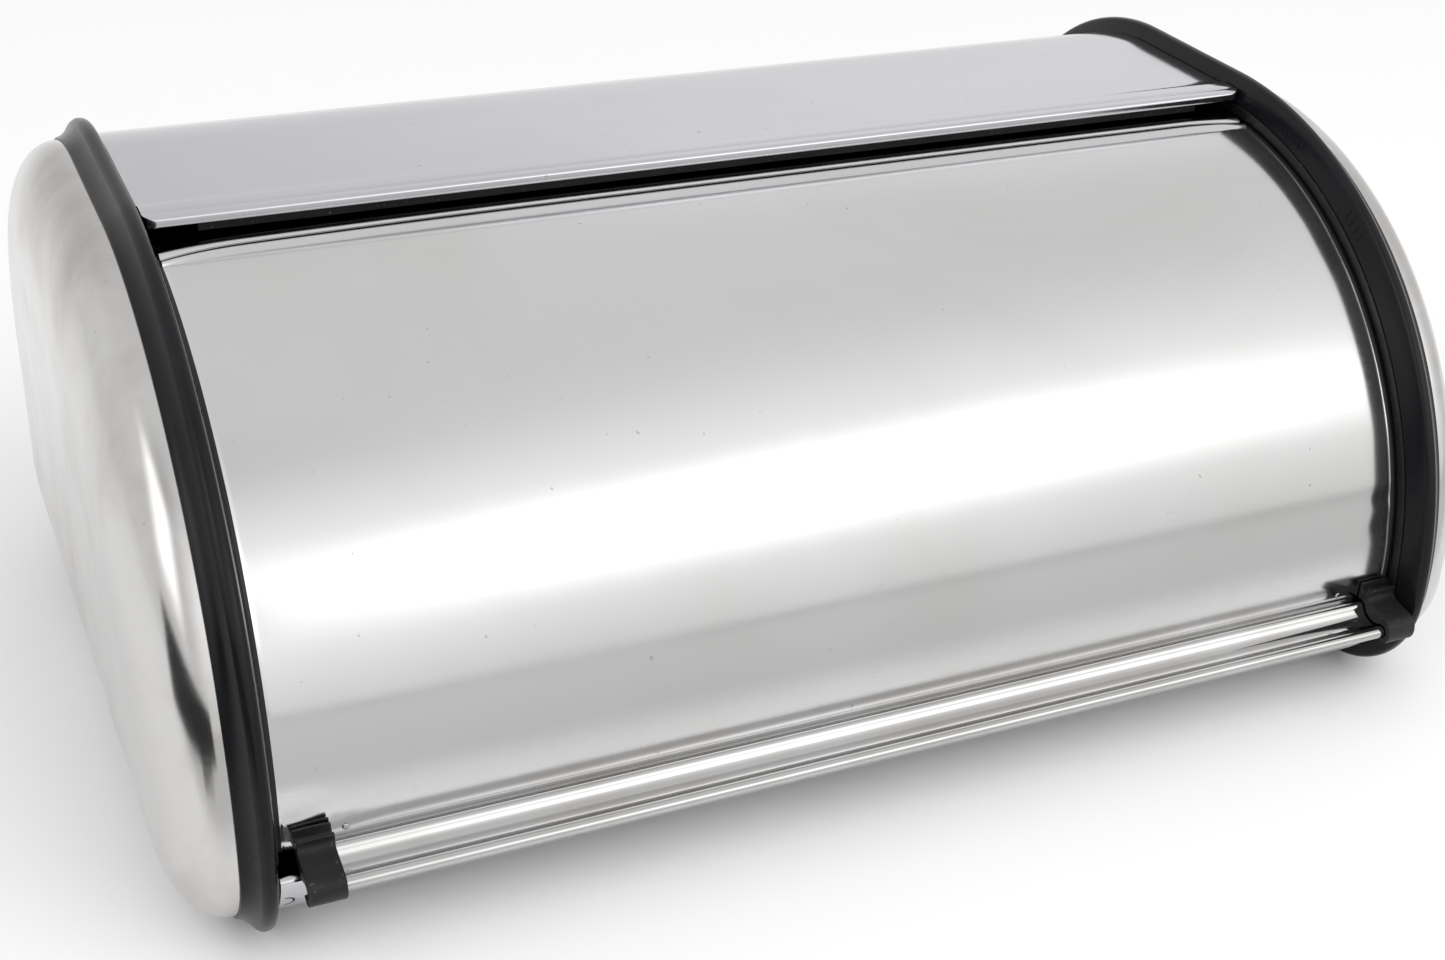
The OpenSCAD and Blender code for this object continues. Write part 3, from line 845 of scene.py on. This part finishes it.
# a clip's section, (y, z), round the rail and up to its two ears
CLIP = [(-125.0, 41.9), (-125.0, 36.2), (-126.8, 36.15), (-127.9, 35.95), (-128.8, 35.2), (-129.3, 34.2),
        (-130.1, 33.3), (-131.3, 32.5), (-133.1, 32.0), (-134.9, 32.0), (-136.3, 32.45), (-137.5, 33.0),
        (-138.7, 33.1), (-139.9, 32.6), (-140.55, 31.4), (-140.45, 30.0), (-139.5, 28.95), (-138.1, 28.8),
        (-137.2, 29.2), (-136.6, 28.4), (-137.6, 27.4), (-139.4, 27.1), (-141.2, 27.9), (-142.1, 29.4),
        (-142.35, 31.2), (-142.15, 32.8), (-141.5, 34.2), (-140.2, 35.1), (-138.6, 35.6), (-136.0, 36.1),
        (-133.5, 36.6), (-131.4, 37.1), (-130.3, 37.6), (-129.7, 38.4), (-129.6, 39.5), (-130.1, 41.0),
        (-128.9, 41.4), (-128.2, 40.1), (-127.9, 39.4), (-127.3, 38.9), (-126.6, 39.2), (-126.2, 39.9),
        (-126.0, 40.8), (-125.9, 42.1)]


def make_clips():
    """Soft straps over the rail's ends, slightly uneven from moulding and wear."""
    for name, side in SIDES:
        seed = 3.0 if side < 0 else 8.0
        x0, x1 = clip_box[name][0].x, clip_box[name][1].x
        rings = []
        for k in range(13):
            f = k / 12
            edge = abs(f - 0.5) * 2
            ring = []
            for y, z in CLIP:
                outer = y < -141 or z > 36.3
                soft = 0.07 * wave(f * 3, z / 5, seed) if outer else 0.0
                sag = 0.22 * edge ** 2 * (1 if z > 39.7 else 0)
                sway = 0.3 * wave(z / 6, 2.0, seed) * (1 if z > 38 else 0.35) * edge
                ring.append((x0 + (x1 - x0) * f + sway, y + abs(soft), z - sag - abs(soft) * 0.5))
            rings.append(ring)
        bm = bmesh.new()
        loft(bm, rings)
        clip = finish_mesh(bm, f"clip_{name}_rubber", RUBBER, "door", f"clip_{name}", 60)
        mod = clip.modifiers.new("rounding", "BEVEL")
        mod.width, mod.segments = 0.22 * MM, 2
        mod.limit_method, mod.angle_limit = "ANGLE", math.radians(50)


# ---------------------------------------------------------------- tracks, strip and screws
def make_tracks():
    section = [(109, 187.15), (109.15, TRACK_X), (123.0, TRACK_X), (123.1, 187.1), (123.1, 189.6),
               (125.5, 189.6), (125.5, 187.1), (125.6, TRACK_X), (128.65, TRACK_X), (128.8, 187.15),
               (128.8, 190.98), (109, 190.98)]
    for name, side in SIDES:
        bm = bmesh.new()
        loft(bm, turned(section, side, -6, 181.4, 170))
        finish_mesh(bm, f"track_{name}_groove", TRACK_BLACK, "housing", f"track_{name}", 40)


def make_strip():
    lean = math.radians(HEM_A - 1.1 - 90)
    section = [(0, 126.8), (0.1, 126.7), (1.5, 126.7), (1.6, 126.8), (1.6, 129.4), (7, 128.9), (7, 130.2),
               (0.1, 130.3), (0, 130.2)]
    rings = []
    for x in spread(strip_high.x, (0.05, 0.4, 2), 30):
        sag = 0.12 * wave(x / 30, 1.0, 4.0)
        ring = []
        for y, z in section:
            z += sag if z < 128 else 0
            ring.append((x, y * math.cos(lean) - z * math.sin(lean),
                         ARC_Z + y * math.sin(lean) + z * math.cos(lean)))
        rings.append(ring)
    bm = bmesh.new()
    loft(bm, rings)
    finish_mesh(bm, "cross_strip_seal", STRIP_BLACK, "housing", "cross_strip", 40)


def cross_radius(t, arm=1.55, half=0.34):
    """Radius of a cross-shaped recess's edge at angle t."""
    t = abs((t + math.pi / 4) % (math.pi / 2) - math.pi / 4)
    return min(arm / math.cos(t), half / max(1e-6, math.sin(t)))


# (radius, height above the track's face) along a screw's shank and head, then its recess
SCREW = ((1.45, -10.3), (1.45, 0.0), (2.95, 0.02), (3.0, 0.15), (2.95, 0.55), (2.75, 0.95), (2.4, 1.25),
         (1.95, 1.45), (1.7, 1.52))
RECESS = ((1.0, 1.55), (0.9, 1.0), (0.55, 0.45))


def make_screws():
    angles = circle_angles(96)
    for name, side in SIDES:
        bm = bmesh.new()
        inward = Matrix.Rotation(math.radians(-90 * side), 4, "Y")
        for k, a in enumerate(SCREW_ANGLES):
            y, z = pol(SCREW_R, a)
            turn = Matrix.Rotation(0.4 + 1.3 * k, 4, "Z")
            place = Matrix.Translation(Vector((side * TRACK_X, y, z))) @ inward @ turn
            rings = [[place @ Vector((r * math.cos(t), r * math.sin(t), h)) for t in angles]
                     for r, h in SCREW]
            for grow, h in RECESS:
                rings.append([place @ Vector((grow * cross_radius(t) * math.cos(t),
                                              grow * cross_radius(t) * math.sin(t), h)) for t in angles])
            loft(bm, rings)
        finish_mesh(bm, f"screws_{name}_set", ZINC, "housing", f"screws_{name}", 35)


make_frames()
make_caps()
make_shell()
make_door()
make_rail()
make_rivets()
make_trims()
make_clips()
make_tracks()
make_strip()
make_screws()
